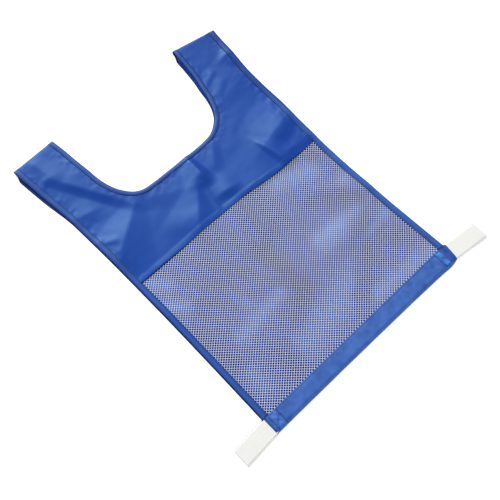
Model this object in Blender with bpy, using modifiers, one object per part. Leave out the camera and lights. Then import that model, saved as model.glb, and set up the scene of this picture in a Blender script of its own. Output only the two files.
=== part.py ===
# A junior mesh training bib, laid flat on a surface. The satin back turns over at two rounded shoulder folds
# and meets the satin front yoke there; an open net and a turned hem band hang below the yoke; bound edges run
# round the neck and up each side; a loop of flat elastic joins the front hem to the back at each side.
# +X runs across the bib, +Y from the hem to the shoulders, +Z up from the surface. Sizes are in millimetres.

import math
from collections import namedtuple

import bmesh
import bpy
import numpy as np

MM = 0.001

# Driving dimensions
WALL = 1.2
SEAM_GAP = 0.3
LAYER_GAP = 0.3
LEFT_BINDING_WIDTH = 9.0
RIGHT_BINDING_WIDTH = 11.0
NECK_BINDING_WIDTH = 8.0
BINDING_RAISE = 0.25
TAPE_WIDTH = 25.0
FOLD_RADIUS = 4.2
FOOTPRINT_CENTRE = (2.6, 280.0)

# Spacing of the cuts that let a panel bend
PANEL_STEP = 7.5
NET_STEP = 13.0
BACK_STEP = 60.0
EDGE_STEP = 9.5
FOLD_STEPS = 5
SHIFT_STEPS = 5

# Heights of the middle of each wall above the surface
BACK_HEIGHT = WALL / 2
FRONT_HEIGHT = WALL + LAYER_GAP + WALL / 2
FOLD_TOP = BACK_HEIGHT + 2 * FOLD_RADIUS

# The front straps start to rise to the rounded shoulder folds here, and each panel's grid of cuts ends below them
RISE_FROM = 425.0
GRID_TOP = 556.0

# The back lies a little to the left of the front, and further near the shoulders, but not at the folds themselves
BACK_SHIFT, BACK_SHIFT_HIGH = 2.0, 4.8
SHIFT_FROM, SHIFT_TO = 425.0, 500.0
SHIFT_FADE = 16.0
BACK_HEM = 1.0

HEM_TOP = 26.0
CREASE_FADE = 10.0
CREASE_CREST = 2.0

Point = namedtuple("Point", "across up")
Fold = namedtuple("Fold", "outer_across outer_up inner_across inner_up")
Crease = namedtuple("Crease", "from_across from_up to_across to_up left_reach right_reach height start_share")
Loop = namedtuple("Loop", "name side hem_end back_end tip hem_low upper_lean lower_low lower_lean lift")

# The finished edges, in order round the bib. They run on past the shoulder folds, which cut them.
LEFT_SIDE = [
    Point(-184.5, 1.0),
    Point(-184.2, 60.0),
    Point(-184.0, 134.0),
    Point(-184.3, 220.0),
    Point(-185.3, 287.0),
    Point(-186.5, 345.0),
    Point(-188.8, 403.0),
    Point(-190.4, 436.0),
    Point(-193.2, 464.0),
    Point(-197.6, 503.0),
    Point(-202.0, 545.0),
    Point(-205.5, 582.0),
]
NECK = [
    Point(-129.6, 582.0),
    Point(-123.4, 543.0),
    Point(-120.8, 515.0),
    Point(-117.6, 488.0),
    Point(-114.4, 459.0),
    Point(-107.4, 436.0),
    Point(-97.5, 420.0),
    Point(-86.5, 409.0),
    Point(-72.0, 403.9),
    Point(-15.0, 403.2),
    Point(42.0, 403.6),
    Point(68.0, 408.4),
    Point(88.4, 422.4),
    Point(99.8, 439.0),
    Point(107.7, 459.0),
    Point(112.4, 479.0),
    Point(117.6, 500.0),
    Point(122.4, 533.0),
    Point(127.0, 582.0),
]
RIGHT_SIDE = [
    Point(206.8, 582.0),
    Point(204.6, 549.0),
    Point(199.8, 500.0),
    Point(195.2, 460.0),
    Point(193.2, 425.0),
    Point(191.2, 374.0),
    Point(188.2, 344.0),
    Point(185.4, 292.0),
    Point(183.2, 225.0),
    Point(183.8, 134.0),
    Point(185.6, 60.0),
    Point(187.2, 1.0),
]
YOKE_EDGE = [
    Point(-190.0, 287.6),
    Point(-130.0, 287.8),
    Point(-35.0, 289.6),
    Point(20.0, 289.4),
    Point(70.0, 284.6),
    Point(110.0, 282.6),
    Point(190.0, 285.6),
]
HEM_EDGE = [
    Point(185.6, -2.2),
    Point(170.0, -4.8),
    Point(150.0, -3.6),
    Point(60.0, -1.8),
    Point(-60.0, -0.7),
    Point(-183.8, -0.3),
]
HEM_ENDS = (-184.1, 188.9)

# The top of each shoulder fold, from its outer end to its inner end
SHOULDERS = (
    Fold(-203.5, 564.0, -126.0, 567.9),
    Fold(203.2, 556.0, 126.5, 568.9),
)

# Soft ridges of the front, each walked along its crest: where it starts and ends, how far it reaches on the walker's
# left and right, its height at the end, and the share of that reach and height with which it starts
CREASES = (
    Crease(-177, 572, -166, 508, 26, 16, 2.4, 0.4),
    Crease(-166, 508, -104, 400, 130, 13, 3.4, 1.0),
    Crease(-190, 436, -146, 426, 34, 22, 1.7, 0.8),
    Crease(-98, 396, -182, 336, 62, 60, 5.6, 0.25),
    Crease(-6, 358, -58, 296, 40, 60, 5.2, 0.2),
    Crease(8, 404, 5, 350, 15, 36, 6.4, 0.45),
    Crease(0, 317, 30, 312, 42, 14, 3.2, 0.8),
    Crease(30, 296, 98, 292, 70, 30, 3.2, 0.8),
    Crease(106, 352, 120, 286, 34, 13, 5.2, 0.15),
    Crease(108, 330, 192, 351, 58, 80, 5.0, 0.9),
    Crease(192, 347, 122, 325, 24, 58, 1.7, 0.35),
    Crease(128, 297, 184, 297, 22, 9, 1.8, 0.6),
    Crease(96, 434, 192, 456, 60, 50, 1.4, 0.9),
    Crease(170, 501, 204, 503, 24, 60, 3.6, 0.2),
    Crease(178, 540, 174, 498, 16, 7, 1.6, 0.3),
    Crease(-176, 222, -128, 212, 50, 30, 2.2, 0.9),
    Crease(-74, 170, 14, 160, 40, 62, 2.4, 0.8),
    Crease(28, 134, 164, 128, 46, 24, 3.0, 0.8),
    Crease(110, 226, 182, 164, 30, 18, 2.2, 0.8),
)

LOOPS = (
    Loop("elastic_left", -1, 184.3, 187.3, 241.6, 0.3, -3.0, 4.6, -4.0, 0.6),
    Loop("elastic_right", 1, 189.2, 185.6, 247.0, -0.9, -7.2, 1.4, -6.0, 0.9),
)

SATIN = (0.035, 0.10, 0.39, 1.0)
SATIN_BINDING = (0.045, 0.12, 0.43, 1.0)
NET_YARN = (0.62, 0.66, 0.80, 1.0)
ELASTIC_WHITE = (0.87, 0.88, 0.86, 1.0)


def clear_scene():
    for obj in list(bpy.data.objects):
        bpy.data.objects.remove(obj, do_unlink=True)


def ease(x):
    x = min(max(x, 0.0), 1.0)
    return x * x * (3 - 2 * x)


def smooth_path(points, step):
    """A smooth curve through the points, as an array of (across, up) rows about one step apart."""
    p = np.array(points, float)
    p = np.vstack([2 * p[0] - p[1], p, 2 * p[-1] - p[-2]])
    rows = []
    for before, start, end, after in zip(p, p[1:], p[2:], p[3:]):
        length = np.linalg.norm(end - start)
        leave = (end - before) * length / (length + np.linalg.norm(start - before))
        reach = (after - start) * length / (length + np.linalg.norm(after - end))
        for t in np.arange(0, 1, 1 / max(1, round(length / step))):
            rows.append(
                (2 * t**3 - 3 * t**2 + 1) * start
                + (t**3 - 2 * t**2 + t) * leave
                + (3 * t**2 - 2 * t**3) * end
                + (t**3 - t**2) * reach
            )
    return np.array(rows + [p[-2]])


def inset_path(path, distance):
    """The path moved into the cloth, which lies on its right-hand side."""
    way = np.gradient(path, axis=0)
    way /= np.linalg.norm(way, axis=1)[:, None]
    return path + distance * np.stack([way[:, 1], -way[:, 0]], axis=1)


def across_at(path, up):
    """How far across a side edge stands at one height."""
    order = np.argsort(path[:, 1])
    return float(np.interp(up, path[order, 1], path[order, 0]))


def shoulder(across):
    return SHOULDERS[across > 0]


def shoulder_top(across):
    """How far up the laid shoulder fold reaches."""
    fold = shoulder(across)
    slope = (fold.inner_up - fold.outer_up) / (fold.inner_across - fold.outer_across)
    return fold.outer_up + slope * (across - fold.outer_across)


def fold_start(across):
    """How far up the cloth leaves its flat run and starts to turn over."""
    return shoulder_top(across) - FOLD_RADIUS - WALL / 2


def crease_lift(across, up):
    lift = 0.0
    for c in CREASES:
        run = np.array([c.to_across - c.from_across, c.to_up - c.from_up], float)
        length = np.linalg.norm(run)
        run /= length
        offset = np.array([across - c.from_across, up - c.from_up])
        along = offset @ run
        aside = offset[0] * run[1] - offset[1] * run[0]
        share = c.start_share + (1 - c.start_share) * min(max(along / length, 0.0), 1.0)
        past_end = max(-along, along - length)
        ends = ease(0.5 - past_end / (0.6 * (c.left_reach + c.right_reach)))
        away = math.hypot(aside, CREASE_CREST) - CREASE_CREST
        reach = share * (c.right_reach if aside > 0 else c.left_reach)
        lift += c.height * share * ends * max(1 - away / reach, 0.0) ** 1.3
    return lift * ease((fold_start(across) - up) / CREASE_FADE)


def front_height(across, up):
    climb = min(max((up - RISE_FROM) / (fold_start(across) - RISE_FROM), 0.0), 1.0) ** 1.5
    return FRONT_HEIGHT + (FOLD_TOP - FRONT_HEIGHT) * climb + crease_lift(across, up)


def lay(across, along, layer, raised=0.0):
    """Where a point of the flat cut lies once the bib is folded over at the shoulders and laid down."""
    start = fold_start(across)
    beyond = max(0.0, along - start)
    turn = min(beyond / FOLD_RADIUS, math.pi / 2)
    up = min(along, start) + FOLD_RADIUS * math.sin(turn)
    if layer == "back":
        shift = BACK_SHIFT + (BACK_SHIFT_HIGH - BACK_SHIFT) * ease((along - SHIFT_FROM) / (SHIFT_TO - SHIFT_FROM))
        height = BACK_HEIGHT + FOLD_RADIUS * (1 - math.cos(turn))
        return across - shift * ease((start - along) / SHIFT_FADE), up, height
    height = front_height(across, min(along, start)) - FOLD_RADIUS * (1 - math.cos(turn))
    return across, up, height + raised * math.cos(turn)


def flat_panel(outline):
    """A bmesh with one flat face inside the outline, in cut coordinates."""
    bm = bmesh.new()
    bm.faces.new([bm.verts.new((across, up, 0)) for across, up in outline])
    return bm


def flat_strip(path, width):
    """A bmesh with a row of faces from the path to its inset, in cut coordinates."""
    inner = inset_path(path, width)
    bm = bmesh.new()
    steps = len(path) - 1
    bmesh.ops.create_grid(bm, x_segments=steps, y_segments=1, size=0.5)
    for vert in bm.verts:
        row = round((vert.co.x + 0.5) * steps)
        side = inner if vert.co.y < 0 else path
        vert.co = (*side[row], 0)
    return bm


def cut_line(bm, point, normal, clear=False):
    bmesh.ops.bisect_plane(
        bm,
        geom=bm.verts[:] + bm.edges[:] + bm.faces[:],
        dist=0.4,
        plane_co=point,
        plane_no=normal,
        clear_outer=clear,
    )


def cut_at_shoulders(bm, short=0.0):
    """Ends the cut at the crest of each fold, or short of it, with rows of cuts so that it can bend and shift there."""
    end = FOLD_RADIUS * math.pi / 2 - short
    rows = [end] + [end * step / FOLD_STEPS for step in range(FOLD_STEPS)]
    rows += [-SHIFT_FADE * step / SHIFT_STEPS for step in range(1, SHIFT_STEPS + 1)]
    for fold in SHOULDERS:
        run_across, run_up = fold.inner_across - fold.outer_across, fold.inner_up - fold.outer_up
        normal = (-run_up, run_across, 0) if run_across > 0 else (run_up, -run_across, 0)
        start = fold.outer_up - FOLD_RADIUS - WALL / 2
        for row in rows:
            cut_line(bm, (fold.outer_across, start + row, 0), normal, clear=row == end)


def cut_grid(bm, step, top):
    """Cuts the panel across and along, up to one height."""
    across = [v.co.x for v in bm.verts]
    up = [v.co.y for v in bm.verts]
    for at in np.arange(min(up) + step, min(top, max(up)), step):
        cut_line(bm, (0, at, 0), (0, 1, 0))
    for at in np.arange(min(across) + step, max(across), step):
        cut_line(bm, (at, 0, 0), (1, 0, 0))


def lay_mesh(bm, layer, raised=0.0):
    bmesh.ops.triangulate(bm, faces=bm.faces[:], quad_method="BEAUTY", ngon_method="BEAUTY")
    for vert in bm.verts:
        across, up, height = lay(vert.co.x, vert.co.y, layer, raised)
        vert.co = (across, up, height)
    if layer == "back":
        bmesh.ops.reverse_faces(bm, faces=bm.faces[:])


def material(name, colour, roughness):
    found = bpy.data.materials.get(name)
    if found:
        return found
    made = bpy.data.materials.new(name)
    made.use_nodes = True
    shader = made.node_tree.nodes["Principled BSDF"]
    shader.inputs["Base Color"].default_value = colour
    shader.inputs["Roughness"].default_value = roughness
    shader.inputs["Metallic"].default_value = 0.0
    return made


def finish(name, sheets, finish_material):
    """Joins the laid sheets into one open surface, sets it on the bib's own centre and gives it its wall."""
    whole = bmesh.new()
    for sheet in sheets:
        part = bpy.data.meshes.new("sheet")
        sheet.to_mesh(part)
        sheet.free()
        whole.from_mesh(part)
        bpy.data.meshes.remove(part)
    bmesh.ops.remove_doubles(whole, verts=whole.verts[:], dist=0.05)
    bmesh.ops.dissolve_degenerate(whole, dist=0.05, edges=whole.edges[:])
    bmesh.ops.recalc_face_normals(whole, faces=whole.faces[:])
    for vert in whole.verts:
        vert.co.x = (vert.co.x - FOOTPRINT_CENTRE[0]) * MM
        vert.co.y = (vert.co.y - FOOTPRINT_CENTRE[1]) * MM
        vert.co.z *= MM
    mesh = bpy.data.meshes.new(name)
    whole.to_mesh(mesh)
    whole.free()
    mesh.materials.append(finish_material)
    mesh.shade_smooth()
    obj = bpy.data.objects.new(name, mesh)
    bib.objects.link(obj)
    wall = obj.modifiers.new("Wall", "SOLIDIFY")
    wall.thickness = WALL * MM
    wall.offset = 0
    wall.use_even_offset = True
    return obj


def side_edges():
    return smooth_path(LEFT_SIDE, EDGE_STEP), smooth_path(RIGHT_SIDE, EDGE_STEP)


def inner_edges():
    """The panels' own edges inside the bindings: left side, neck and right side."""
    left, right = side_edges()
    neck = smooth_path(NECK, EDGE_STEP)
    return (
        inset_path(left, LEFT_BINDING_WIDTH + SEAM_GAP),
        inset_path(neck, NECK_BINDING_WIDTH + SEAM_GAP),
        inset_path(right, RIGHT_BINDING_WIDTH + SEAM_GAP),
    )


def panel_outline(bottom_left, bottom_right, lowest_up):
    """The outline of a panel that reaches the shoulders, from its lower corners up."""
    left, neck, right = inner_edges()
    return np.vstack(
        [
            [bottom_left],
            left[left[:, 1] > lowest_up],
            neck,
            right[right[:, 1] > lowest_up],
            [bottom_right],
        ]
    )


def make_back_panel():
    left, _, right = inner_edges()
    bm = flat_panel(
        panel_outline(
            (across_at(left, BACK_HEM), BACK_HEM),
            (across_at(right, BACK_HEM), BACK_HEM),
            BACK_HEM + 4,
        )
    )
    cut_at_shoulders(bm, SEAM_GAP / 2)
    cut_grid(bm, BACK_STEP, GRID_TOP)
    lay_mesh(bm, "back")
    finish("back_panel", [bm], material("satin", SATIN, 0.38))


def make_front_yoke():
    left, _, right = inner_edges()
    edge = smooth_path(YOKE_EDGE, PANEL_STEP)
    low_left = across_at(left, edge[0, 1])
    low_right = across_at(right, edge[-1, 1])
    edge = edge[(edge[:, 0] > low_left + 3) & (edge[:, 0] < low_right - 3)]
    corners = (low_left, YOKE_EDGE[0].up), (low_right, YOKE_EDGE[-1].up)
    outline = panel_outline(*corners, YOKE_EDGE[0].up + 4)
    bm = flat_panel(np.vstack([outline, edge[::-1]]))
    cut_at_shoulders(bm, SEAM_GAP / 2)
    cut_grid(bm, PANEL_STEP, GRID_TOP)
    lay_mesh(bm, "front")
    finish("front_yoke", [bm], material("satin", SATIN, 0.38))


def make_front_net():
    left, _, right = inner_edges()
    low, high = HEM_TOP + SEAM_GAP, YOKE_EDGE[0].up - SEAM_GAP
    edge = smooth_path(YOKE_EDGE, PANEL_STEP) - (0, SEAM_GAP)
    low_left, high_left = across_at(left, low), across_at(left, high)
    low_right, high_right = across_at(right, low), across_at(right, high)
    edge = edge[(edge[:, 0] > high_left + 3) & (edge[:, 0] < high_right - 3)]
    rising = left[(left[:, 1] > low + 3) & (left[:, 1] < high - 3)]
    falling = right[(right[:, 1] > low + 3) & (right[:, 1] < high - 6)]
    bm = flat_panel(
        np.vstack(
            [
                [(low_left, low)],
                rising,
                [(high_left, high)],
                edge,
                [(high_right, YOKE_EDGE[-1].up - SEAM_GAP)],
                falling,
                [(low_right, low)],
            ]
        )
    )
    cut_grid(bm, NET_STEP, high)
    lay_mesh(bm, "front")
    finish("front_net", [bm], material("net_yarn", NET_YARN, 0.75))


def make_front_hem():
    bottom = smooth_path(HEM_EDGE, NET_STEP)
    bm = flat_panel(np.vstack([[(HEM_ENDS[0], HEM_TOP)], [(HEM_ENDS[1], HEM_TOP)], bottom]))
    cut_grid(bm, HEM_TOP / 2, HEM_TOP)
    lay_mesh(bm, "front", BINDING_RAISE)
    finish("front_hem", [bm], material("satin_binding", SATIN_BINDING, 0.38))


def make_side_binding(name, path, width):
    """One strip from the front hem over the shoulder and down the back to its hem."""
    rising = path[:, 1] > HEM_TOP + SEAM_GAP + 2
    foot = (across_at(path, HEM_TOP + SEAM_GAP), HEM_TOP + SEAM_GAP)
    kept = path[rising]
    front_path = np.vstack([[foot], kept]) if path[0, 1] < path[-1, 1] else np.vstack([kept, [foot]])
    sheets = []
    for layer, run, raised in (("front", front_path, BINDING_RAISE), ("back", path, 0.0)):
        bm = flat_strip(run, width)
        cut_at_shoulders(bm)
        lay_mesh(bm, layer, raised)
        sheets.append(bm)
    finish(name, sheets, material("satin_binding", SATIN_BINDING, 0.38))


def make_neck_binding():
    """A closed ring: the front neck edge, over both shoulders, and the back neck edge."""
    neck = smooth_path(NECK, EDGE_STEP)
    sheets = []
    for layer, raised in (("front", BINDING_RAISE), ("back", 0.0)):
        bm = flat_strip(neck, NECK_BINDING_WIDTH)
        cut_at_shoulders(bm)
        lay_mesh(bm, layer, raised)
        sheets.append(bm)
    finish("neck_binding", sheets, material("satin_binding", SATIN_BINDING, 0.38))


def loop_profile(loop):
    """The tape's own path from the front hem round its fold to the back, as (out, height, share of the way)."""
    upper, lower = FRONT_HEIGHT, BACK_HEIGHT
    radius = (upper + loop.lift - lower) / 2
    turn_at = loop.tip - radius - WALL / 2
    rows = []
    for share in np.linspace(0, 1, 9):
        out = loop.hem_end + share * (turn_at - loop.hem_end)
        rows.append((out, upper + loop.lift * ease((share - 0.25) / 0.75), 0.0))
    for turn in np.linspace(0, math.pi, 8)[1:]:
        rows.append((turn_at + radius * math.sin(turn), lower + radius * (1 + math.cos(turn)), turn / math.pi))
    for share in np.linspace(0, 1, 5)[1:]:
        rows.append((turn_at + share * (loop.back_end - turn_at), lower, 1.0))
    return rows


def make_elastic(loop):
    rows = loop_profile(loop)
    bm = bmesh.new()
    steps = len(rows) - 1
    bmesh.ops.create_grid(bm, x_segments=steps, y_segments=2, size=0.5)
    for vert in bm.verts:
        out, height, turned = rows[round((vert.co.x + 0.5) * steps)]
        gone = (out - loop.hem_end) / (loop.tip - loop.hem_end)
        upper = loop.hem_low + loop.upper_lean * gone
        lower = loop.lower_low + loop.lower_lean * gone
        low = upper + (lower - upper) * ease(turned)
        vert.co = (loop.side * out, low + TAPE_WIDTH * (vert.co.y + 0.5), height)
    finish(loop.name, [bm], material("elastic", ELASTIC_WHITE, 0.8))


clear_scene()
bib = bpy.data.collections.new("mesh_training_bib")
bpy.context.scene.collection.children.link(bib)

left_side, right_side = side_edges()
make_back_panel()
make_front_yoke()
make_front_net()
make_front_hem()
make_side_binding("side_binding_left", left_side, LEFT_BINDING_WIDTH)
make_side_binding("side_binding_right", right_side, RIGHT_BINDING_WIDTH)
make_neck_binding()
for tape in LOOPS:
    make_elastic(tape)
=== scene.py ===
import math

import bmesh
import bpy
import numpy as np
from mathutils import Matrix, Vector, noise


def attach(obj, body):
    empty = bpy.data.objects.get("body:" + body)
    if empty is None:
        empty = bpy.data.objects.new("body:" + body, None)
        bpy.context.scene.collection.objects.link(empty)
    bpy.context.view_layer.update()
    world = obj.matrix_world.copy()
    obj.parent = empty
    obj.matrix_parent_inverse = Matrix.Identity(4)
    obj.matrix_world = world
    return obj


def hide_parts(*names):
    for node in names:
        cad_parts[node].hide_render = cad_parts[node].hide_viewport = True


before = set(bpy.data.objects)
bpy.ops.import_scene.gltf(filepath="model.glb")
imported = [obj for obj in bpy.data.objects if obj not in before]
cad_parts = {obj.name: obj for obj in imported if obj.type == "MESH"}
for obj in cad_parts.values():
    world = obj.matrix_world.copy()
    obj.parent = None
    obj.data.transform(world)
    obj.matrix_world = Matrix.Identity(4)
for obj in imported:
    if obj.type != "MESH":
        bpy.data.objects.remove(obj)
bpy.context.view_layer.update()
print("frame loaded:", sorted(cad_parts))

mm = 0.001

# How the bib lies: heights are those of the middle of each cloth above the surface
lie = {
    "centre": (2.6, 280.0),  # the point of the cut that the frame's origin lies under
    "wall": 1.2,  # wall of the frame's solids
    "foldRadius": 4.2,
    "foldCuts": 10,  # rows of cuts that let a fold bend
    "backHeight": 0.6,
    "frontHeight": 2.1,
    "riseFrom": 425.0,  # from here up the front rises to the shoulder folds
    "rise": 1.5,  # above 1, most of that rise is near the folds
    "gridTop": 556.0,  # above this the cloth is cut only in rows along the shoulder folds
    "backShift": (2.0, 4.8),  # how far the back lies to the left: below, and at the shoulders
    "shiftFrom": 425.0,
    "shiftTo": 500.0,
    "shiftFade": 16.0,
    "creaseFade": 10.0,  # the creases die out over this distance below the shoulder folds
    "backFollows": 0.4,  # share of the net's creases that the back takes on
    "backFollowsTo": 285.0,  # it does so below the yoke
    "backFollowsFade": 30.0,
    "waves": ((34.0, 0.4), (13.0, 0.1)),  # size and height of the cloth's faint unevenness
    "waveSeed": 3.7,
    "crest": 2.0,  # how round a crease is along its top
    "flank": 1.3,  # above 1, its sides are hollow towards their foot
    "ends": 0.6,  # its ends die out over this share of its whole width
    "cloth": 0.5,  # thickness of a satin layer
}

# The top of each shoulder fold: outer end, then inner end
shoulders = (
    ((-203.5, 564.0), (-126.0, 567.9)),
    ((203.2, 556.0), (126.5, 568.9)),
)

# The finished edges, clockwise round the bib, each run on past the shoulder fold that ends it
edges = {
    "leftSide": [
        (-184.5, 1.0), (-184.2, 60.0), (-184.0, 134.0), (-184.3, 220.0), (-185.3, 287.0), (-186.5, 345.0),
        (-188.8, 403.0), (-190.4, 436.0), (-193.2, 464.0), (-197.6, 503.0), (-202.0, 545.0), (-205.5, 582.0),
    ],
    "neck": [
        (-129.6, 582.0), (-123.4, 543.0), (-120.8, 515.0), (-117.6, 488.0), (-114.4, 459.0), (-107.4, 436.0),
        (-97.5, 420.0), (-86.5, 409.0), (-72.0, 403.9), (-15.0, 403.2), (42.0, 403.6), (68.0, 408.4),
        (88.4, 422.4), (99.8, 439.0), (107.7, 459.0), (112.4, 479.0), (117.6, 500.0), (122.4, 533.0),
        (127.0, 582.0),
    ],
    "rightSide": [
        (206.8, 582.0), (204.6, 549.0), (199.8, 500.0), (195.2, 460.0), (193.2, 425.0), (191.2, 374.0),
        (188.2, 344.0), (185.4, 292.0), (183.2, 225.0), (183.8, 134.0), (185.6, 60.0), (187.2, 1.0),
    ],
    "yokeEdge": [
        (-190.0, 287.6), (-130.0, 287.8), (-35.0, 289.6), (20.0, 289.4), (70.0, 284.6), (110.0, 282.6),
        (190.0, 285.6),
    ],
    "hemEdge": [
        (185.6, -2.2), (178.0, -4.0), (170.0, -4.8), (150.0, -3.6), (60.0, -1.8), (-60.0, -0.7),
        (-183.8, -0.3),
    ],
}

# Creases of the front, each a ridge walked from one end of its crest to the other, in millimetres:
# from across, up, to across, up, how far it reaches on the walker's left and right, its height, and how much
# of that it starts with
creases = [
    # left shoulder and side
    (-177, 572, -166, 508, 26, 14, 1.6, 0.6),
    (-166, 508, -104, 400, 130, 13, 3.4, 1.0),
    (-192, 508, -174, 518, 12, 8, 0.9, 0.8),
    (-190, 436, -146, 426, 34, 22, 1.7, 0.8),
    (-98, 396, -182, 336, 62, 60, 5.6, 0.25),
    (-184, 382, -158, 364, 10, 8, 0.8, 0.8),
    (-84, 390, -12, 352, 30, 30, 0.8, 0.7),
    # middle
    (-6, 358, -58, 296, 40, 60, 5.2, 0.2),
    (-3, 352, -14, 298, 5, 5, 0.8, 0.8),
    (8, 404, 5, 350, 15, 36, 6.4, 0.45),
    (0, 317, 30, 312, 42, 14, 3.2, 0.8),
    (58, 396, 28, 354, 14, 22, 1.1, 0.8),
    (30, 296, 98, 292, 70, 30, 3.2, 0.8),
    # right
    (106, 352, 121, 286, 36, 15, 6.0, 0.15),
    (108, 330, 192, 351, 58, 80, 5.0, 0.9),
    (192, 347, 122, 325, 24, 58, 1.7, 0.35),
    (128, 297, 184, 297, 22, 9, 1.8, 0.6),
    (96, 434, 192, 456, 60, 50, 1.4, 0.9),
    (170, 500, 204, 502, 32, 60, 4.4, 0.2),
    (122, 480, 150, 494, 10, 7, 0.7, 0.6),
    (120, 450, 150, 470, 16, 10, 0.7, 0.8),
    # net
    (-176, 222, -128, 212, 50, 30, 2.2, 0.9),
    (-74, 170, 14, 160, 40, 62, 2.4, 0.8),
    (28, 134, 164, 128, 46, 24, 3.0, 0.8),
    (110, 226, 182, 164, 30, 18, 2.2, 0.8),
]


def ease(x):
    x = np.clip(x, 0.0, 1.0)
    return x * x * (3 - 2 * x)


def bell(away, width):
    return np.exp(-((away / width) ** 2))


def smoothPath(points, step):
    # a smooth curve through the points, one row about every step
    p = np.array(points, float)
    p = np.vstack([2 * p[0] - p[1], p, 2 * p[-1] - p[-2]])
    rows = []
    for before, start, end, after in zip(p, p[1:], p[2:], p[3:]):
        length = np.linalg.norm(end - start)
        leave = (end - before) * length / (length + np.linalg.norm(start - before))
        reach = (after - start) * length / (length + np.linalg.norm(after - end))
        for t in np.arange(0, 1, 1 / max(1, round(length / step))):
            rows.append((2 * t**3 - 3 * t**2 + 1) * start + (t**3 - 2 * t**2 + t) * leave
                        + (3 * t**2 - 2 * t**3) * end + (t**3 - t**2) * reach)
    return np.array(rows + [p[-2]])


def insetPath(path, distance):
    # moved into the cloth, which lies on the path's right
    way = np.gradient(path, axis=0)
    way /= np.linalg.norm(way, axis=1)[:, None]
    return path + distance * np.stack([way[:, 1], -way[:, 0]], axis=1)


def acrossAt(path, up):
    order = np.argsort(path[:, 1])
    return float(np.interp(up, path[order, 1], path[order, 0]))


def foldStart(across):
    # how far up the cloth leaves its flat run and starts to turn over
    top = np.zeros_like(across)
    for (outer, outerUp), (inner, innerUp) in shoulders:
        slope = (innerUp - outerUp) / (inner - outer)
        top = np.where((across > 0) == (outer > 0), outerUp + slope * (across - outer), top)
    return top - lie["foldRadius"] - lie["wall"] / 2


def creaseLift(across, up):
    lift = np.zeros_like(across)
    for fromAcross, fromUp, toAcross, toUp, left, right, height, start in creases:
        run = np.array([toAcross - fromAcross, toUp - fromUp], float)
        length = np.linalg.norm(run)
        run /= length
        dx, dy = across - fromAcross, up - fromUp
        along = dx * run[0] + dy * run[1]
        aside = dx * run[1] - dy * run[0]
        share = start + (1 - start) * np.clip(along / length, 0, 1)
        past = np.maximum(-along, along - length)
        ends = ease(0.5 - past / (lie["ends"] * (left + right)))
        away = np.sqrt(aside**2 + lie["crest"] ** 2) - lie["crest"]
        slope = np.clip(1 - away / (share * np.where(aside > 0, right, left)), 0, 1)
        lift += height * share * ends * slope ** lie["flank"]
    return lift * ease((foldStart(across) - up) / lie["creaseFade"])


def unevenness(across, up):
    # the faint waves that no pressing takes out of thin cloth
    waves = [sum(height * noise.noise((a / size, b / size, lie["waveSeed"] * size))
                 for size, height in lie["waves"])
             for a, b in zip(np.ravel(across), np.ravel(up))]
    return np.reshape(waves, np.shape(across))


def frontHeight(across, up):
    top = lie["backHeight"] + 2 * lie["foldRadius"]
    climb = np.clip((up - lie["riseFrom"]) / (foldStart(across) - lie["riseFrom"]), 0, 1) ** lie["rise"]
    rise = (top - lie["frontHeight"]) * climb
    return lie["frontHeight"] + rise + creaseLift(across, up) + unevenness(across, up)


def lay(across, along, layer, raised=0.0):
    # where points of the flat cut lie once the bib is folded at the shoulders and laid down
    across, along = np.asarray(across, float), np.asarray(along, float)
    start, radius = foldStart(across), lie["foldRadius"]
    turn = np.clip((along - start) / radius, 0, math.pi / 2)
    flat = np.minimum(along, start)
    up = flat + (radius + raised) * np.sin(turn)
    if layer == "back":
        low, high = lie["backShift"]
        shift = low + (high - low) * ease((along - lie["shiftFrom"]) / (lie["shiftTo"] - lie["shiftFrom"]))
        out = across - shift * ease((start - along) / lie["shiftFade"])
        below = ease((lie["backFollowsTo"] - along) / lie["backFollowsFade"])
        follow = lie["backFollows"] * below * np.maximum(creaseLift(across, along), 0)
        height = lie["backHeight"] + follow + radius * (1 - np.cos(turn)) - raised * np.cos(turn)
    else:
        out = across
        height = frontHeight(across, flat) - radius * (1 - np.cos(turn)) + raised * np.cos(turn)
    place = np.stack([out - lie["centre"][0], up - lie["centre"][1], height], axis=-1)
    return place * mm


def layMesh(bm, layer, raise_=None):
    # moves a flat bmesh, in cut coordinates with the raise in z, to where it lies
    co = np.array([v.co for v in bm.verts])
    raised = co[:, 2] if raise_ is None else raise_(co[:, 0], co[:, 1]) + co[:, 2]
    for vert, place in zip(bm.verts, lay(co[:, 0], co[:, 1], layer, raised)):
        vert.co = place
    if layer == "back":
        bmesh.ops.reverse_faces(bm, faces=bm.faces[:])


def filledOutline(outline):
    bm = bmesh.new()
    verts = [bm.verts.new((across, up, 0)) for across, up in outline]
    ring = [bm.edges.new(pair) for pair in zip(verts, verts[1:] + verts[:1])]
    bmesh.ops.contextual_create(bm, geom=ring)
    bmesh.ops.recalc_face_normals(bm, faces=bm.faces[:])
    if bm.faces[:][0].normal.z < 0:
        bmesh.ops.reverse_faces(bm, faces=bm.faces[:])
    return bm


def cutLine(bm, point, normal, clear=False):
    bmesh.ops.bisect_plane(bm, geom=bm.verts[:] + bm.edges[:] + bm.faces[:], dist=0.05,
                           plane_co=point, plane_no=normal, clear_outer=clear)


def cutShoulders(bm):
    # ends the cut at the crest of each fold, with rows of cuts so that the fold can bend
    steps = lie["foldCuts"]
    for (outer, outerUp), (inner, innerUp) in shoulders:
        side = 1 if inner > outer else -1
        normal = Vector((-(innerUp - outerUp), inner - outer, 0)) * side
        start = outerUp - lie["foldRadius"] - lie["wall"] / 2
        for step in range(steps, -1, -1):
            up = start + lie["foldRadius"] * math.pi / 2 * step / steps
            cutLine(bm, (outer, up, 0), normal, clear=step == steps)


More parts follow.
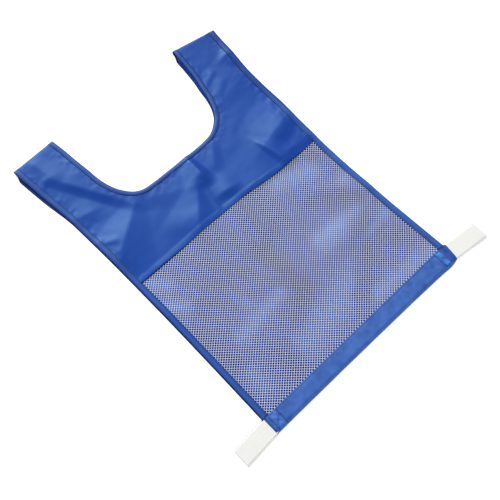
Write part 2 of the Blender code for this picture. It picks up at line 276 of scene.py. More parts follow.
def cutGrid(bm, step, top):
    across, up = [v.co.x for v in bm.verts], [v.co.y for v in bm.verts]
    for at in np.arange(min(up) + step, min(top, max(up)), step):
        cutLine(bm, (0, at, 0), (0, 1, 0))
    for at in np.arange(min(across) + step, max(across), step):
        cutLine(bm, (at, 0, 0), (1, 0, 0))


# stores the painted-shade value on each point: 0.5 leaves the colour, lower paints shade, higher paints light
def addPaintedShade(bm, tensionAt):
    co = np.array([v.co for v in bm.verts])
    paintedShade = bm.verts.layers.float.new("paintedShade")
    for vert, amount in zip(bm.verts, tensionAt(co[:, 0], co[:, 1])):
        vert[paintedShade] = amount


def toPiece(name, sheets, finishes, replaces, thickness):
    whole = bmesh.new()
    for sheet in sheets:
        mesh = bpy.data.meshes.new("sheet")
        sheet.to_mesh(mesh)
        sheet.free()
        whole.from_mesh(mesh)
        bpy.data.meshes.remove(mesh)
    bmesh.ops.remove_doubles(whole, verts=whole.verts[:], dist=0.02 * mm)  # joins the sheets where they meet
    mesh = bpy.data.meshes.new(name)
    whole.to_mesh(mesh)
    whole.free()
    mesh.shade_smooth()
    for finish in finishes:
        mesh.materials.append(finish)
    piece = bpy.data.objects.new(name, mesh)
    bpy.context.scene.collection.objects.link(piece)
    if thickness:
        wall = piece.modifiers.new("cloth thickness", "SOLIDIFY")
        wall.thickness = thickness * mm
        wall.material_offset = len(finishes) - 1  # the cloth's other face has the last finish
        wall.offset = 0
    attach(piece, "root")
    if replaces:
        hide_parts(replaces)
    return piece


# Materials


def toLinear(hexColour):
    parts = [int(hexColour[i:i + 2], 16) / 255 for i in (1, 3, 5)]
    return [c / 12.92 if c <= 0.04045 else ((c + 0.055) / 1.055) ** 2.4 for c in parts] + [1.0]


def addNode(tree, kind, settings=None, inputs=None):
    node = tree.nodes.new(kind)
    for key, value in (settings or {}).items():
        setattr(node, key, value)
    for key, value in (inputs or {}).items():
        if isinstance(value, bpy.types.NodeSocket):
            tree.links.new(value, node.inputs[key])
        else:
            node.inputs[key].default_value = value
    return node


def waveScale(period):
    # the Wave texture's scale for bands this many millimetres apart
    return 2 * math.pi / (20 * period * mm)


def newMaterial(name):
    made = bpy.data.materials.new(name)
    made.use_nodes = True
    return made, made.node_tree, made.node_tree.nodes["Principled BSDF"]


def polyesterSatin(name, base, light, gloss, cloudSize=70.0, shades=None):
    # filament satin: smooth, with a soft blue-tinted gloss on every slope that faces the light. The points'
    # painted-shade value turns it to the two shades: the first is painted shade, below the middle, the second
    # painted light, above it. Its rows are drawn 1 mm apart, coarser than the real threads, so that they show
    made, tree, shader = newMaterial(name)
    place = addNode(tree, "ShaderNodeTexCoord").outputs["Object"]
    cloud = addNode(tree, "ShaderNodeTexNoise",
                    inputs={"Vector": place, "Scale": 1 / (cloudSize * mm), "Detail": 3.0})
    spread = addNode(tree, "ShaderNodeMapRange",
                     inputs={"Value": cloud.outputs["Fac"], "From Min": 0.3, "From Max": 0.7})
    rows = addNode(tree, "ShaderNodeTexWave", {"bands_direction": "X"},
                   {"Vector": place, "Scale": waveScale(1.0), "Distortion": 0.0})
    colour = addNode(tree, "ShaderNodeMix", {"data_type": "RGBA"},
                     {"Factor": spread.outputs["Result"], 6: toLinear(base), 7: toLinear(light)}).outputs[2]
    if shades:
        paintedShade = addNode(tree, "ShaderNodeAttribute", {"attribute_name": "paintedShade"}).outputs["Fac"]
        for shade, shadeOffset, shadeEnd in zip(shades, (0.5, 0.5), (0.0, 1.0)):
            amount = addNode(tree, "ShaderNodeMapRange",
                             inputs={"Value": paintedShade, "From Min": shadeOffset, "From Max": shadeEnd})
            colour = addNode(tree, "ShaderNodeMix", {"data_type": "RGBA"},
                             {"Factor": amount.outputs["Result"], 6: colour, 7: toLinear(shade)}).outputs[2]
    tree.links.new(colour, shader.inputs["Base Color"])
    bump = addNode(tree, "ShaderNodeBump",
                   inputs={"Height": rows.outputs["Fac"], "Strength": 0.25, "Distance": 0.03 * mm})
    tree.links.new(bump.outputs["Normal"], shader.inputs["Normal"])
    shader.inputs["Roughness"].default_value = 0.4
    shader.inputs["Specular IOR Level"].default_value = gloss
    shader.inputs["Specular Tint"].default_value = toLinear("#aae4ff")
    return made


def netYarn():
    # textured white polyester yarn: soft and matt; its faint blue is painted light, bounced and shining
    # through from the blue satin beneath
    made, tree, shader = newMaterial("white net yarn")
    place = addNode(tree, "ShaderNodeTexCoord").outputs["Object"]
    fibre = addNode(tree, "ShaderNodeTexNoise",
                    inputs={"Vector": place, "Scale": 1 / (1.1 * mm), "Detail": 2.0})
    mix = addNode(tree, "ShaderNodeMix", {"data_type": "RGBA"},
                  {"Factor": fibre.outputs["Fac"], 6: toLinear("#d8e0f6"), 7: toLinear("#ecf2ff")})
    tree.links.new(mix.outputs[2], shader.inputs["Base Color"])
    shader.inputs["Roughness"].default_value = 0.7
    shader.inputs["Specular IOR Level"].default_value = 0.3
    return made


def wovenElastic():
    # woven elastic: matt white, with ribs along the tape
    made, tree, shader = newMaterial("white woven elastic")
    place = addNode(tree, "ShaderNodeTexCoord").outputs["Object"]
    fibre = addNode(tree, "ShaderNodeTexNoise",
                    inputs={"Vector": place, "Scale": 1 / (2.0 * mm), "Detail": 2.0})
    mix = addNode(tree, "ShaderNodeMix", {"data_type": "RGBA"},
                  {"Factor": fibre.outputs["Fac"], 6: toLinear("#e4e5e0"), 7: toLinear("#f4f4f0")})
    tree.links.new(mix.outputs[2], shader.inputs["Base Color"])
    shader.inputs["Roughness"].default_value = 0.8
    shader.inputs["Specular IOR Level"].default_value = 0.2
    return made


def sewingThread():
    # spun polyester thread: matt, its plies seen as fine light and dark; darker than the cloth as painted
    # shade of the needle holes and puckers along the seams
    made, tree, shader = newMaterial("royal blue sewing thread, painted darker")
    place = addNode(tree, "ShaderNodeTexCoord").outputs["Object"]
    plies = addNode(tree, "ShaderNodeTexNoise",
                    inputs={"Vector": place, "Scale": 1 / (0.4 * mm), "Detail": 1.0})
    mix = addNode(tree, "ShaderNodeMix", {"data_type": "RGBA"},
                  {"Factor": plies.outputs["Fac"], 6: toLinear("#1b347e"), 7: toLinear("#2f52aa")})
    tree.links.new(mix.outputs[2], shader.inputs["Base Color"])
    shader.inputs["Roughness"].default_value = 0.75
    return made


satin = polyesterSatin("royal blue satin", "#0d3a96", "#113e9c", 0.42)
# cut as strips and turned over a raw edge, so duller than the panels; the right one is painted a little
# lighter, for the light it catches. Both carry painted shade and painted light across and along their width
satinStrip = polyesterSatin("royal blue satin strip", "#2a4a98", "#3152a0", 0.3,
                            shades=("#10236e", "#4270c4"))
satinStripLit = polyesterSatin("royal blue satin strip, painted lighter", "#31539c", "#395ba6", 0.3,
                                shades=("#182e7c", "#5082d0"))
# turned double at the hem, so it lies smooth; its lighter, mottled colour is painted sheen, and its two
# shades are painted shade and painted highlight
hemSatin = polyesterSatin("royal blue satin hem", "#375ba8", "#4a6fbe", 0.42, 13.0,
                          shades=("#1c3284", "#4c86de"))
# the back's face that shows through the net: dark and nearly matt, as the cloth's inside and as painted shade
# under the net; its two shades paint shade and light along its folds
satinInside = polyesterSatin("royal blue satin inside", "#0b3098", "#0f36a0", 0.3,
                             shades=("#020e6e", "#6c90d4"))
# the wrong side of the strips, dark and nearly matt: partly the duller wrong side, partly painted shade where
# the back's edge shows, curled up, beside the front
satinWrong = polyesterSatin("royal blue satin wrong side", "#101f66", "#152775", 0.12)
yarn = netYarn()
elasticCloth = wovenElastic()
thread = sewingThread()
print("materials made")

edgeStep, neckStep, hemStep = 4.0, 3.0, 6.0  # rows along the edges
leftSide = smoothPath(edges["leftSide"], edgeStep)
neckEdge = smoothPath(edges["neck"], neckStep)
rightSide = smoothPath(edges["rightSide"], edgeStep)
yokeEdge = smoothPath(edges["yokeEdge"], edgeStep)
hemEdge = smoothPath(edges["hemEdge"], hemStep)
leftWidth, rightWidth, neckWidth = 9.0, 11.0, 8.0  # of the finished bindings
hemTop = 26.0
seams = np.vstack([insetPath(leftSide, leftWidth), insetPath(neckEdge, neckWidth),
                   insetPath(rightSide, rightWidth)])


def panelOutline(lowLeft, lowRight, tuck):
    # the tuck is how far the panel runs under its bindings
    left, right = insetPath(leftSide, leftWidth - tuck), insetPath(rightSide, rightWidth - tuck)
    neck, sideLow = insetPath(neckEdge, neckWidth - tuck), lowLeft + edgeStep
    return np.vstack([[(acrossAt(left, lowLeft), lowLeft)], left[left[:, 1] > sideLow], neck,
                      right[right[:, 1] > sideLow], [(acrossAt(right, lowRight), lowRight)]])


def fromSeams(across, up):
    # how far each point is from the nearest seam of a binding
    places = np.stack([np.ravel(across), np.ravel(up)], axis=1)
    away = [np.min(np.hypot(*(seams - place).T)) for place in places]
    return np.reshape(away, np.shape(across))


# The back, one satin panel: it lies on the floor, and rises onto the bindings under its edges
back = {"hem": 1.0, "step": 6.0, "tuck": 5.0, "sink": 0.33, "rise": 0.25, "riseWidth": 8.0}

# Painted light and shade on the back's inside, seen through the net, along its soft folds: from across, up,
# to across, up, how wide, and how much painted light, or painted shade below zero
backFolds = [
    (-172, 285, -150, 262, 12, 0.5), (-168, 232, -150, 215, 12, 0.55), (-170, 195, -160, 188, 9, 0.45),
    (80, 272, 138, 252, 15, 0.6), (62, 152, 100, 154, 16, 0.45), (60, 164, 146, 156, 9, 0.4),
    (-125, 130, -38, 140, 12, 0.5), (-92, 190, -85, 160, 10, 0.35), (112, 118, 168, 122, 9, 0.5),
    (-60, 62, 50, 78, 26, 0.4), (60, 42, 165, 34, 14, 0.5), (-150, 55, -150, 85, 12, 0.35),
    (160, 205, 172, 210, 10, 0.45), (-12, 205, -8, 120, 14, -1.0), (-8, 120, -50, 98, 12, -0.8),
    (112, 128, 172, 146, 9, -0.9), (45, 55, 108, 104, 12, -0.8), (92, 214, 156, 168, 11, -0.9),
    (-165, 180, -160, 108, 14, -0.7), (-100, 42, -98, 78, 13, -0.7), (14, 285, 14, 215, 16, -0.7),
    (-72, 285, -64, 258, 10, -0.7), (110, 100, 168, 82, 12, -0.5), (160, 280, 165, 255, 12, -0.6),
    (-110, 215, -40, 200, 36, -0.45),
]


def backPaintedShade(across, up):
    paintedShade = np.full_like(across, 0.5)
    for fromAcross, fromUp, toAcross, toUp, width, amount in backFolds:
        run = np.array([toAcross - fromAcross, toUp - fromUp], float)
        dx, dy = across - fromAcross, up - fromUp
        share = np.clip((dx * run[0] + dy * run[1]) / (run @ run), 0, 1)
        away = np.hypot(dx - share * run[0], dy - share * run[1])
        paintedShade += 0.5 * amount * bell(away, width)
    return np.clip(paintedShade, 0, 1)


def backRaise(across, up):
    inward = ease((fromSeams(across, up) - back["tuck"]) / back["riseWidth"])
    return back["sink"] * inward - back["rise"] * (1 - inward)


def makeBack():
    bm = filledOutline(panelOutline(back["hem"], back["hem"], back["tuck"]))
    cutShoulders(bm)
    cutGrid(bm, back["step"], lie["gridTop"])
    addPaintedShade(bm, backPaintedShade)
    layMesh(bm, "back", backRaise)
    piece = toPiece("backSatin", [bm], [satin, satinInside], "back_panel", lie["cloth"])


# The front yoke: its lower edge is turned under and topstitched
yoke = {"step": 2.5, "tuck": 2.0, "turnUnder": 7.5, "bandRaise": 0.75, "bandFade": 3.0, "groove": 0.3,
        "grooveWidth": 0.9, "pucker": 0.6, "puckerSize": 7.0, "puckerReach": 9.0, "puckerSeed": 0.5}


def yokeRaise(across, up):
    above = up - np.interp(across, yokeEdge[:, 0], yokeEdge[:, 1])
    band = 1 - ease((above - yoke["turnUnder"]) / yoke["bandFade"])
    groove = bell(above - yoke["turnUnder"], yoke["grooveWidth"])
    size, seed = yoke["puckerSize"], yoke["puckerSeed"]
    pulls = [noise.noise((a / size, b / size, seed)) * math.exp(-away / yoke["puckerReach"])
             for a, b, away in zip(np.ravel(across), np.ravel(up), np.ravel(fromSeams(across, up)))]
    pucker = yoke["pucker"] * np.reshape(pulls, np.shape(across))
    return yoke["bandRaise"] * band - yoke["groove"] * groove + pucker


def makeYoke():
    outline = panelOutline(yokeEdge[0, 1], yokeEdge[-1, 1], yoke["tuck"])
    left, right = outline[0, 0] + 1, outline[-1, 0] - 1  # clear of the outline's corners
    edge = yokeEdge[(yokeEdge[:, 0] > left) & (yokeEdge[:, 0] < right)]
    bm = filledOutline(np.vstack([outline, edge[::-1]]))
    cutShoulders(bm)
    cutGrid(bm, yoke["step"], lie["gridTop"])
    layMesh(bm, "front", yokeRaise)
    piece = toPiece("frontYokeSatin", [bm], [satin], "front_yoke", lie["cloth"])


# The net: diamond cells set point to point, each hole knitted round
net = {
    "cellAcross": 5.15,
    "cellUp": 4.64,
    "cells": 128,  # each way, before the net is cut to its outline
    "middleUp": 155.0,
    "yarn": 0.26,  # from a hole's edge to the middle of the yarn
    "knotRaise": 0.2,
    "thickness": 0.25,
    "tuck": 3.0,
}


def makeNet():
    left, right = insetPath(leftSide, leftWidth - net["tuck"]), insetPath(rightSide, rightWidth - net["tuck"])
    bm = bmesh.new()
    bmesh.ops.create_grid(bm, x_segments=net["cells"], y_segments=net["cells"], size=net["cells"] / 2)
    a, b = net["cellAcross"] / 2, net["cellUp"] / 2
    shear = Matrix(((a, -a, 0, 0), (b, b, 0, net["middleUp"]), (0, 0, 1, 0), (0, 0, 0, 1)))
    bmesh.ops.transform(bm, matrix=shear, verts=bm.verts[:])
    outside = []
    for face in bm.faces:
        at = face.calc_center_median()
        high = np.interp(at.x, yokeEdge[:, 0], yokeEdge[:, 1]) + net["tuck"]
        inside = hemTop - net["tuck"] < at.y < high and acrossAt(left, at.y) < at.x < acrossAt(right, at.y)
        if not inside:
            outside.append(face)
    bmesh.ops.delete(bm, geom=outside, context="FACES")
    lattice = bm.verts[:]
    holes = bm.faces[:]
    bmesh.ops.inset_individual(bm, faces=holes, thickness=net["yarn"], use_even_offset=True)
    bmesh.ops.delete(bm, geom=holes, context="FACES")
    for vert in lattice:
        vert.co.z = net["knotRaise"]
    layMesh(bm, "front")
    piece = toPiece("frontNetCloth", [bm], [yarn], "front_net", net["thickness"])


# The hem band, turned double: its lower edge rolls down towards the floor
hem = {
    "raise": 0.95,
    "rim": (0.35, 1.6),  # share of the raise at its very edge, and how far in it is whole
    "ends": (-184.1, 188.9),
    "corner": ((-2.5, 0.0), (-0.4, -1.2), (0.0, -3.5)),  # the upper corner on the right is round
    "step": 1.2,
    "stitchUp": 4.0,  # lower row of stitches above the lowest edge
    "stitchDown": 1.8,  # upper row below the top
    "groove": 0.35,
    "grooveWidths": (0.9, 0.8),
    "bulge": 0.8,  # of the cloth between the stitches of a box
    "boxReach": 1.15,  # how far its stitches pull the cloth, as a share of its size
    "pucker": 0.3,
    "puckerReach": 16.0,
    "puckerRim": 3.0,
    "puckerSizes": (1.9, 3.1, 1.7),
    "roll": 2.6,
    "rollWidth": 3.2,
}
hemBoxes = [(-177.0, -163.0, 1.6, 23.4), (164.4, 175.4, 0.8, 24.2)]  # crossed boxes: left, right, low, high
hemPuckerShade = [  # painted shade of puckers: across, up, size, amount
    (-157.6, 3.0, 4.0, 0.22), (-163.0, 16.0, 2.5, 0.2), (-150.0, 20.0, 5.0, 0.1), (-88.0, 14.0, 7.0, 0.1),
    (-60.0, 18.0, 8.0, 0.12), (6.0, 13.0, 7.0, 0.14), (60.0, 15.0, 6.0, 0.08), (104.0, 20.0, 5.0, 0.12),
    (117.8, 3.0, 4.5, 0.24), (112.0, 12.0, 4.5, 0.14), (139.0, 19.0, 4.0, 0.14), (148.0, 14.0, 3.5, 0.2),
    (152.0, 6.0, 3.5, 0.14), (158.0, 12.0, 3.0, 0.16), (161.2, 3.0, 3.0, 0.2), (180.0, 18.0, 3.0, 0.1),
]

# How far the hem's painted light and shade turn its colour from its middle, and how wide that is
hemShade = {
    "triangle": (0.45, 0.14),  # painted highlight in the upper and lower triangles of a crossed box
    "triangleReach": (0.92, 1.02),  # shares of the box, across and up, that they reach to
    "triangleFoot": (0.1, 0.62),  # how far from the box's middle they start, and how much more at its sides
    "leftBox": 0.55,  # the left box has this share of it
    "cross": (0.26, 0.11),  # painted shade along the cross, and beside the box
    "boxSides": (0.3, 0.14),
    "boxSidesAt": 1.06,
    # the top and low seams get painted shade along their stitches
    "topSeam": (0.32, 1.2),
    "topSeamDown": 1.4,
    "lowSeam": (0.12, 1.0),
    "rolledEdge": (0.3, 2.2),  # painted light, evening out the roll's shading
    "rightEnd": (0.24, 176.5, 2.5),  # painted shade from here out, and over how far
    "leftEnd": (0.3, 179.5, 2.0),
}


def hemLow(across):
    return np.interp(across, hemEdge[::-1, 0], hemEdge[::-1, 1])


def inHemBox(across, up, box):
    # where a point lies in a crossed box, from -1 to 1 each way
    left, right, low, high = box
    return (across - (left + right) / 2) / ((right - left) / 2), (up - (low + high) / 2) / ((high - low) / 2)


def hemPaintedShade(across, up):
    # the painted-shade value: high, as painted light, in the boxes' upper and lower triangles and at the
    # rolled edge; low, as painted shade, in the seams, at the ends and where it is puckered
    paintedShade = np.full_like(across, 0.5)
    for box in hemBoxes:
        a, b = inHemBox(across, up, box)
        amount, soft = hemShade["triangle"]
        reachAcross, reachUp = hemShade["triangleReach"]
        foot, rise = hemShade["triangleFoot"]
        edge = np.minimum(np.minimum(reachAcross - abs(a), reachUp - abs(b)), abs(b) - foot - rise * a**2)
        paintedShade += amount * ease(edge / soft) * (1.0 if box[0] > 0 else hemShade["leftBox"])
        amount, width = hemShade["cross"]
        paintedShade -= amount * bell(abs(b) - abs(a), width) * (np.maximum(abs(a), abs(b)) < 1)
        amount, width = hemShade["boxSides"]
        paintedShade -= amount * bell(abs(a) - hemShade["boxSidesAt"], width) * (abs(b) < hem["boxReach"])
    fromLow, fromTop = up - hemLow(across), hemTop - up
    for away, part, way in ((fromTop - hemShade["topSeamDown"], "topSeam", -1),
                            (fromLow - hem["stitchUp"], "lowSeam", -1), (fromLow, "rolledEdge", 1)):
        amount, width = hemShade[part]
        paintedShade += way * amount * bell(away, width)
    for out, part in ((across, "rightEnd"), (-across, "leftEnd")):
        amount, start, width = hemShade[part]
        paintedShade -= amount * ease((out - start) / width)
    for atAcross, atUp, size, amount in hemPuckerShade:
        paintedShade -= amount * bell(np.hypot(across - atAcross, up - atUp), size)
    return np.clip(paintedShade, 0, 1)


def hemRaise(across, up):
    fromLow, fromTop = up - hemLow(across), hemTop - up
    rim = np.minimum(fromLow, fromTop)
    lowWidth, topWidth = hem["grooveWidths"]
    grooves = bell(fromLow - hem["stitchUp"], lowWidth) + bell(fromTop - hem["stitchDown"], topWidth)
    bulge = np.zeros_like(across)
    ripple, bend, swing = hem["puckerSizes"]
    for box in hemBoxes:
        a, b = inHemBox(across, up, box)
        inside = np.clip(hem["boxReach"] - np.maximum(abs(a), abs(b)), 0, 1)
        bulge += hem["bulge"] * inside * np.sqrt(abs(abs(a) - abs(b)))
        near = bell(across - (box[0] + box[1]) / 2, hem["puckerReach"]) * ease(rim / hem["puckerRim"])
        bulge += hem["pucker"] * near * np.sin(across / ripple + np.sin(up / bend) * swing)
    roll = hem["roll"] * (1 - np.sqrt(np.clip(fromLow / hem["rollWidth"], 0, 1)))
    atRim, rimWidth = hem["rim"]
    raised = hem["raise"] * (atRim + (1 - atRim) * ease(rim / rimWidth))
    return raised + bulge - hem["groove"] * grooves - roll


def makeHem():
    left, right = hem["ends"]
    top = [(left, hemTop)] + [(right + out, hemTop + higher) for out, higher in hem["corner"]]
    bm = filledOutline(np.vstack([top, hemEdge]))
    cutGrid(bm, hem["step"], hemTop)
    addPaintedShade(bm, hemPaintedShade)
    layMesh(bm, "front", hemRaise)
    piece = toPiece("hemBand", [bm], [hemSatin], "front_hem", lie["cloth"])


# The bound edges: a strip turned over the raw edge, its outer edge rolled
binding = {
    # share of the width from the outer edge, height above the panel, painted-shade value: below 0.5 painted
    # shade, above it painted light
    "profile": [
        (0.0, -0.6, 0.28), (0.03, -0.1, 0.32), (0.08, 0.35, 0.42), (0.2, 0.65, 0.54), (0.4, 0.78, 0.56),
        (0.6, 0.76, 0.5), (0.72, 0.66, 0.42), (0.8, 0.54, 0.36), (0.88, 0.6, 0.4), (1.0, 0.35, 0.3),
    ],
    "under": 0.33,  # how far below the back panel the strip lies
    "foldFade": 8.0,  # the strip flattens over this distance below a shoulder fold
    "leftFlare": 3.0,  # how far the corner of the left foot sticks out from under the hem
    "flareReach": 5.0,
    "rightShoulderShade": 0.34,  # how much more painted shade a strip has at the shoulders than beside the net
    "leftShoulderShade": 0.1,
    "neckShoulderShade": 0.14,
    "shoulderShadeFrom": 255.0,
    "shoulderShadeTo": 430.0,
    "footClear": 2.0,
}


def flatStrip(path, width, profile, flare=0.0):
    # a grid along the path, its rows set by the profile; the corner of its foot may stick out by the flare
    inner = insetPath(path, width)
    path = path - np.outer(ease((hemTop - path[:, 1]) / binding["flareReach"] + 1), (flare, 0))
    steps, rows = len(path) - 1, len(profile) - 1
    bm = bmesh.new()
    bmesh.ops.create_grid(bm, x_segments=steps, y_segments=rows, size=0.5)
    paintedShade = bm.verts.layers.float.new("paintedShade")
    for vert in bm.verts:
        at = round((vert.co.x + 0.5) * steps)
        share, raised, vert[paintedShade] = profile[round((0.5 - vert.co.y) * rows)]
        vert.co = (*(path[at] + (inner[at] - path[at]) * share), raised)
    return bm


def bindingSheets(frontPath, backPath, width, flare=0.0, shadeOffset=0.0):
    sheets = []
    under = binding["under"]
    backProfile = [(share, under, paintedShade) for share, _, paintedShade in binding["profile"]]
    layers = (("front", frontPath, binding["profile"], flare), ("back", backPath, backProfile, 0.0))
    for layer, path, profile, out in layers:
        bm = flatStrip(path, width, profile, out)
        cutShoulders(bm)
        paintedShade = bm.verts.layers.float["paintedShade"]
        for vert in bm.verts:
            if layer == "front":
                past = float(vert.co.y - foldStart(np.array(vert.co.x)))
                vert.co.z = under + (vert.co.z - under) * (1 - float(ease(past / binding["foldFade"] + 1)))
            high = (vert.co.y - binding["shoulderShadeFrom"]) / (binding["shoulderShadeTo"] - binding["shoulderShadeFrom"])
            vert[paintedShade] = max(vert[paintedShade] - shadeOffset * float(ease(high)), 0)
        layMesh(bm, layer)
        sheets.append(bm)
    return sheets


def makeSideBinding(name, path, width, node, finish, flare, shadeOffset):
    foot = (acrossAt(path, hemTop), hemTop)
    kept = path[path[:, 1] > hemTop + binding["footClear"]]
    frontPath = np.vstack([[foot], kept]) if path[0, 1] < path[-1, 1] else np.vstack([kept, [foot]])
    sheets = bindingSheets(frontPath, path, width, flare, shadeOffset)
    piece = toPiece(name, sheets, [finish, satinWrong], node, lie["cloth"])


def makeNeckBinding():
    sheets = bindingSheets(neckEdge, neckEdge, neckWidth, shadeOffset=binding["neckShoulderShade"])
    piece = toPiece("neckBindingStrip", sheets, [satinStrip, satinWrong], "neck_binding",
                    lie["cloth"])


# The elastics: each a flat tape folded at its outer end. Its upper run starts under the hem and its lower run
# at the back. For each run: how far up its low edge starts, and how much it leans on its way to the tip
elastics = [
    {"name": "leftElasticTape", "node": "elastic_left", "side": -1, "hemEnd": 181.0, "backEnd": 187.3,
     "tip": 241.6, "upperLow": 0.3, "upperLean": -3.0, "lowerLow": 4.6, "lowerLean": -4.0, "lift": 0.6},
    {"name": "rightElasticTape", "node": "elastic_right", "side": 1, "hemEnd": 185.0, "backEnd": 185.6,
     "tip": 247.0, "upperLow": -0.9, "upperLean": -7.2, "lowerLow": 1.4, "lowerLean": -6.0, "lift": 0.9},
]
elasticTape = {
    "width": 25.0,
    "thickness": 1.0,
    "ribs": 24,
    "ribHeight": 0.07,
    "liftFrom": 0.25,
    "rows": (25, 14, 17),  # on the upper run, round the fold, and on the lower run
}


def makeElastic(tape):
    upper, lower = lie["frontHeight"], lie["backHeight"]
    radius = (upper + tape["lift"] - lower) / 2
    turnAt = tape["tip"] - radius - lie["wall"] / 2
    rows, liftFrom = [], elasticTape["liftFrom"]
    upperRows, foldRows, lowerRows = elasticTape["rows"]
    for share in np.linspace(0, 1, upperRows):
        out = tape["hemEnd"] + share * (turnAt - tape["hemEnd"])
        rows.append((out, upper + tape["lift"] * float(ease((share - liftFrom) / (1 - liftFrom))), 0.0))
    for turn in np.linspace(0, math.pi, foldRows)[1:]:
        rows.append((turnAt + radius * math.sin(turn), lower + radius * (1 + math.cos(turn)), turn / math.pi))
    for share in np.linspace(0, 1, lowerRows)[1:]:
        rows.append((turnAt + share * (tape["backEnd"] - turnAt), lower, 1.0))
    steps, ribs = len(rows) - 1, elasticTape["ribs"] * 2
    bm = bmesh.new()
    bmesh.ops.create_grid(bm, x_segments=steps, y_segments=ribs, size=0.5)
    for vert in bm.verts:
        out, height, turned = rows[round((vert.co.x + 0.5) * steps)]
        gone = (out - tape["hemEnd"]) / (tape["tip"] - tape["hemEnd"])
        atUpper = tape["upperLow"] + tape["upperLean"] * gone
        atLower = tape["lowerLow"] + tape["lowerLean"] * gone
        low = atUpper + (atLower - atUpper) * float(ease(turned))
        rib = elasticTape["ribHeight"] * (round((vert.co.y + 0.5) * ribs) % 2) * math.cos(math.pi * turned)
        up = low + elasticTape["width"] * (vert.co.y + 0.5)
        place = (tape["side"] * out - lie["centre"][0], up - lie["centre"][1], height + rib)
        vert.co = [c * mm for c in place]
    if tape["side"] < 0:
        bmesh.ops.reverse_faces(bm, faces=bm.faces[:])
    piece = toPiece(tape["name"], [bm], [elasticCloth], tape["node"], elasticTape["thickness"])


# The topstitching: a row of thread grains along each seam, and a crossed box at each end of the hem
sewing = {
    "pitch": 2.7,
    "length": 2.0,
    "width": 0.6,
    "height": 0.45,
    "sides": 0.8,  # share of the binding's width that the row is in from the edge
    "neck": 0.85,
    "sideTop": 552.0,  # where the rows end at the shoulder folds
    "neckTop": 558.0,
    "yokeEnds": (-174.0, 175.0),
    "hemEnds": (-182.0, 186.0),
}


def sewAlong(bm, path, layer, raise_):
    # grains of thread on the cloth, one each pitch of the path
    gone = np.concatenate([[0], np.cumsum(np.linalg.norm(np.diff(path, axis=0), axis=1))])
    for at in np.arange(sewing["pitch"] / 2, gone[-1], sewing["pitch"]):
        ends = [np.array([np.interp(at + half, gone, path[:, i]) for i in (0, 1)])
                for half in (-sewing["length"] / 2, sewing["length"] / 2)]
        start, end = [Vector(lay(*p, layer, raise_(*p) + sewing["height"] / 3)) for p in ends]
        way = end - start
        turn = way.to_track_quat("X", "Z").to_matrix().to_4x4()
        size = Matrix.Diagonal((sewing["length"] * mm, sewing["width"] * mm, sewing["height"] * mm, 1))
        bmesh.ops.create_icosphere(bm, subdivisions=1, radius=0.5,
                                   matrix=Matrix.Translation((start + end) / 2) @ turn @ size)


def bindingRaise(share):
    shares, raises, _ = zip(*binding["profile"])
    return float(np.interp(share, shares, raises)) + lie["cloth"] / 2


def makeSewing():
    above = lie["cloth"] / 2
    bm = bmesh.new()
    for path, width in ((leftSide, leftWidth), (rightSide, rightWidth)):
        seam = insetPath(path, width * sewing["sides"])
        seam = seam[(seam[:, 1] > hemTop + binding["footClear"]) & (seam[:, 1] < sewing["sideTop"])]
        sewAlong(bm, seam, "front", lambda across, up: bindingRaise(sewing["sides"]))
    seam = insetPath(neckEdge, neckWidth * sewing["neck"])
    seam = seam[seam[:, 1] < sewing["neckTop"]]
    sewAlong(bm, seam, "front", lambda across, up: bindingRaise(sewing["neck"]))
    left, right = sewing["yokeEnds"]
    edge = yokeEdge[(yokeEdge[:, 0] > left) & (yokeEdge[:, 0] < right)] + (0, yoke["turnUnder"])
    sewAlong(bm, edge, "front", lambda across, up: above + float(yokeRaise(across, up)))
    topRow = np.array([(across, hemTop - hem["stitchDown"]) for across in sewing["hemEnds"]])
    for line in (hemEdge + (0, hem["stitchUp"]), topRow):
        sewAlong(bm, line, "front", lambda across, up: above + float(hemRaise(across, up)))
    for left, right, low, high in hemBoxes:
        ring = [(left, high), (left, low), (right, low), (right, high)]
        for line in (ring, [(left, low), (right, high)], [(left, high), (right, low)]):
            sewAlong(bm, np.array(line), "front", lambda across, up: above + float(hemRaise(across, up)))
    toPiece("topStitching", [bm], [thread], None, 0)


makeBack()
makeYoke()
makeNet()
print("panels made")
makeHem()
makeSideBinding("leftSideBinding", leftSide, leftWidth, "side_binding_left", satinStrip, binding["leftFlare"],
                binding["leftShoulderShade"])
makeSideBinding("rightSideBinding", rightSide, rightWidth, "side_binding_right", satinStripLit, 0.0,
                binding["rightShoulderShade"])
makeNeckBinding()
for tape in elastics:
    makeElastic(tape)
makeSewing()
print("edges, elastics and sewing made")

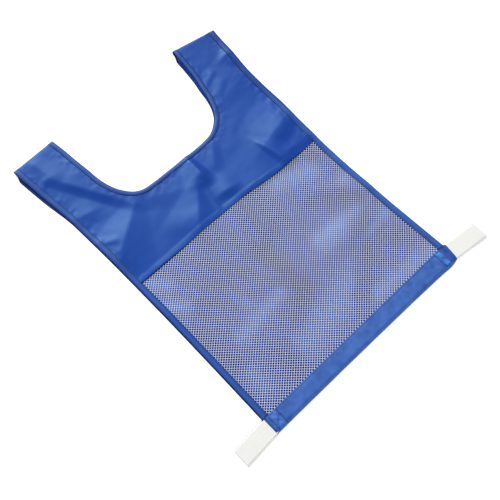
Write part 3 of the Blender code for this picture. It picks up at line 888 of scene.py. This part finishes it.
# The floor, the light and the camera
studio = {
    "floor": "#ffffff",
    "floorGlow": 0.3,
    "floorSize": 6.0,
    "world": 0.42,
    "keyPower": 1120.0,
    "keyPlace": (1.5, 7.5, 6.4),
    "keySize": (6.0, 4.5),
    "cameraPlace": (-0.3107, -0.3582, 0.9577),
    "cameraForward": (0.2706, 0.2851, -0.9195),
    "cameraRight": (0.7254, -0.6884, 0.0),
    "lens": 50.52,
}


def makeFloor():
    bm = bmesh.new()
    bmesh.ops.create_grid(bm, x_segments=1, y_segments=1, size=studio["floorSize"])
    mesh = bpy.data.meshes.new("floor")
    bm.to_mesh(mesh)
    bm.free()
    # painted matt board: white, with a faint glow of its own, so that no shadow shows
    made, _, shader = newMaterial("white matt board")
    shader.inputs["Base Color"].default_value = toLinear(studio["floor"])
    shader.inputs["Roughness"].default_value = 0.9
    shader.inputs["Emission Color"].default_value = toLinear(studio["floor"])
    shader.inputs["Emission Strength"].default_value = studio["floorGlow"]
    mesh.materials.append(made)
    floor = bpy.data.objects.new("floor", mesh)
    bpy.context.scene.collection.objects.link(floor)


def addSoftbox(name, place, target, size, power):
    data = bpy.data.lights.new(name, "AREA")
    data.shape = "RECTANGLE"
    data.size, data.size_y = size
    data.energy = power
    lamp = bpy.data.objects.new(name, data)
    lamp.location = place
    lamp.rotation_euler = (Vector(target) - Vector(place)).to_track_quat("-Z", "Y").to_euler()
    bpy.context.scene.collection.objects.link(lamp)


def makeCamera():
    forward = Vector(studio["cameraForward"]).normalized()
    right = Vector(studio["cameraRight"]).normalized()
    up = right.cross(forward)
    data = bpy.data.cameras.new("camera")
    data.lens, data.sensor_width = studio["lens"], 36.0
    camera = bpy.data.objects.new("camera", data)
    turn = Matrix((right, up, -forward)).transposed().to_4x4()
    camera.matrix_world = Matrix.Translation(studio["cameraPlace"]) @ turn
    bpy.context.scene.collection.objects.link(camera)
    bpy.context.scene.camera = camera


makeFloor()
world = bpy.data.worlds.new("studio")
world.use_nodes = True
world.node_tree.nodes["Background"].inputs["Color"].default_value = (1, 1, 1, 1)
world.node_tree.nodes["Background"].inputs["Strength"].default_value = studio["world"]
bpy.context.scene.world = world
addSoftbox("key light", studio["keyPlace"], (0, 0, 0), studio["keySize"], studio["keyPower"])
makeCamera()
bpy.context.scene.view_settings.view_transform = "Standard"
print("studio made")
